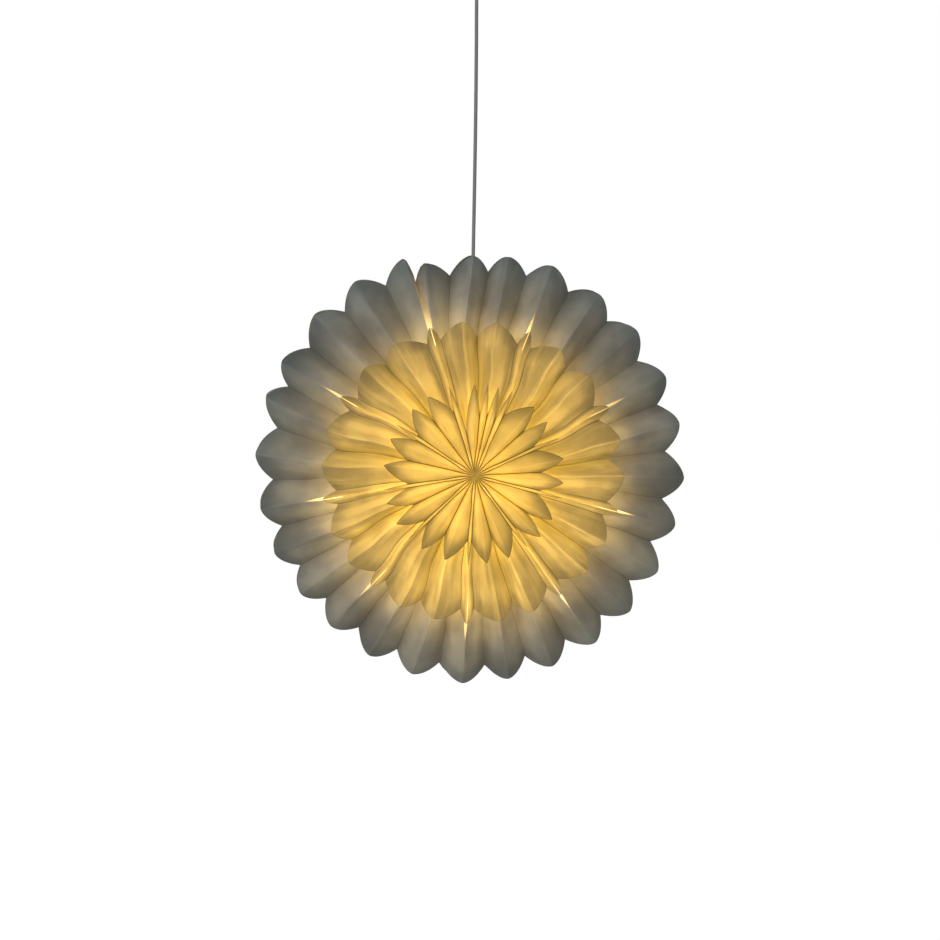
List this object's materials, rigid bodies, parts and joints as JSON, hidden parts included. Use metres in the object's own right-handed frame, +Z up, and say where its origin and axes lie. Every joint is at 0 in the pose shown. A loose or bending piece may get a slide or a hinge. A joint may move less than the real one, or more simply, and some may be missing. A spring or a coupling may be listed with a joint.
{
  "type": "hanging paper star lamp",
  "caption": "Hanging lamp of folded paper: a round pleated star with rows of petals, front and back, on a white cord.",
  "frame": {"origin": "middle of the flat face that lies on the ceiling, with the lamp hanging below it", "axes": "+Z up, the star's front faces -Y and its width runs along X"},
  "size_m": [0.5972, 0.194, 1.0379],
  "materials": {
    "rim_paper": "matt white paper, lit faintly from inside",
    "lamp_paper": "thin matt white paper that glows warm",
    "rosette_paper": "thin matt white paper that glows warm",
    "white_cord": "white cord sheath, satin",
    "white_plastic": "white moulded plastic",
    "terminal_plastic": "cream plastic",
    "plated_steel": "zinc-plated strip",
    "ceramic": "glazed white insulator",
    "cap_metal": "rolled screw cap",
    "opal_glass": "opal bulb, lit"
  },
  "bodies": {
    "root": {"outer_module_1": "rim_paper", "middle_front_1": "lamp_paper", "rosette_front_1": "rosette_paper", "middle_back_1": "lamp_paper", "rosette_back_1": "rosette_paper", "outer_module_2": "rim_paper", "middle_front_2": "lamp_paper", "rosette_front_2": "rosette_paper", "middle_back_2": "lamp_paper", "rosette_back_2": "rosette_paper", "outer_module_3": "rim_paper", "middle_front_3": "lamp_paper", "rosette_front_3": "rosette_paper", "middle_back_3": "lamp_paper", "rosette_back_3": "rosette_paper", "outer_module_4": "rim_paper", "middle_front_4": "lamp_paper", "rosette_front_4": "rosette_paper", "middle_back_4": "lamp_paper", "rosette_back_4": "rosette_paper", "outer_module_5": "rim_paper", "middle_front_5": "lamp_paper", "rosette_front_5": "rosette_paper", "middle_back_5": "lamp_paper", "rosette_back_5": "rosette_paper", "outer_module_6": "rim_paper", "middle_front_6": "lamp_paper", "rosette_front_6": "rosette_paper", "middle_back_6": "lamp_paper", "rosette_back_6": "rosette_paper", "outer_module_7": "rim_paper", "middle_front_7": "lamp_paper", "rosette_front_7": "rosette_paper", "middle_back_7": "lamp_paper", "rosette_back_7": "rosette_paper", "outer_module_8": "rim_paper", "middle_front_8": "lamp_paper", "rosette_front_8": "rosette_paper", "middle_back_8": "lamp_paper", "rosette_back_8": "rosette_paper", "outer_module_9": "rim_paper", "middle_front_9": "lamp_paper", "rosette_front_9": "rosette_paper", "middle_back_9": "lamp_paper", "rosette_back_9": "rosette_paper", "cord": "white_cord", "ceiling_cup": "white_plastic", "cup_gland": "white_plastic", "ceiling_bracket": "plated_steel", "terminal_block": "terminal_plastic", "hanger_bar": "white_plastic", "cord_stop": "white_plastic", "cord_grip": "white_plastic", "holder_cap": "white_plastic", "holder_shell": "white_plastic", "socket_insert": "ceramic", "bulb_cap": "cap_metal", "bulb_glass": "opal_glass"}
  },
  "joints": []
}
